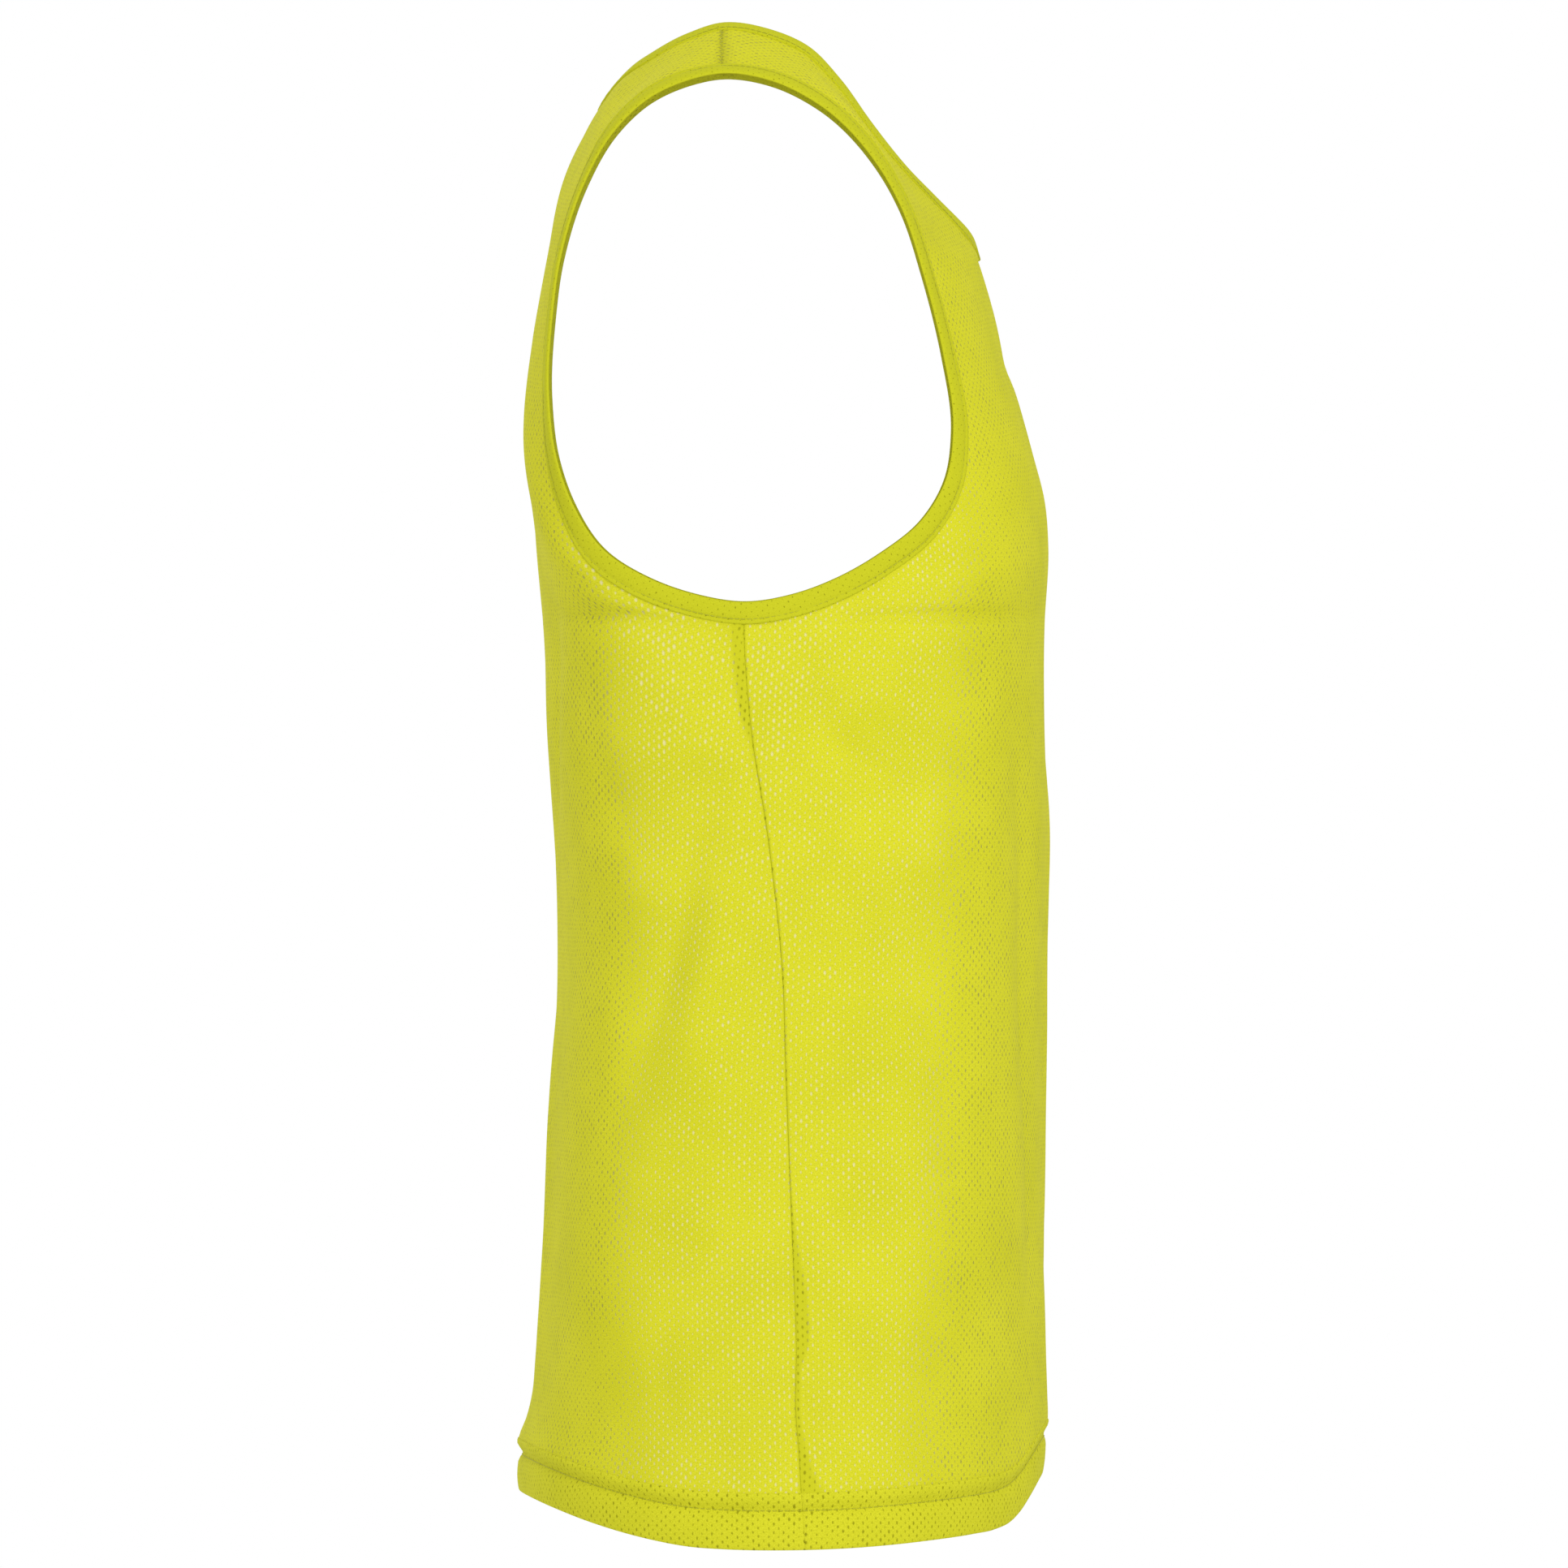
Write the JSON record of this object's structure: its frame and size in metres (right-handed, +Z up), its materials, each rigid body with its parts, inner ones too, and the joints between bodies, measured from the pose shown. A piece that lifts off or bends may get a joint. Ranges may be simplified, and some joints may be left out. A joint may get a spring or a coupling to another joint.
{
  "type": "mesh training bib",
  "caption": "Sleeveless open-mesh training bib filled out as when worn, with bound neck and armholes, side seams and a doubled hem.",
  "frame": {"origin": "midway between the two shoulder seams, at the middle of each strap's height, where a wearer's shoulders hold the bib", "axes": "+Z up towards the neck, -Y the front of the garment, +X the wearer's left"},
  "size_m": [0.391, 0.2446, 0.7004],
  "materials": {
    "mesh_cloth": "open warp-knit polyester mesh, neon yellow, matte with a slight yarn sheen",
    "doubled_mesh": "the same mesh doubled, so that its holes show dark",
    "edge_binding": "the same mesh folded over and stitched down as a narrow flat band"
  },
  "bodies": {
    "root": {"front_panel": "mesh_cloth", "back_panel": "mesh_cloth", "hem_front": "doubled_mesh", "hem_back": "doubled_mesh", "armhole_band_right": "edge_binding", "armhole_band_left": "edge_binding", "neck_band": "edge_binding"}
  },
  "joints": []
}
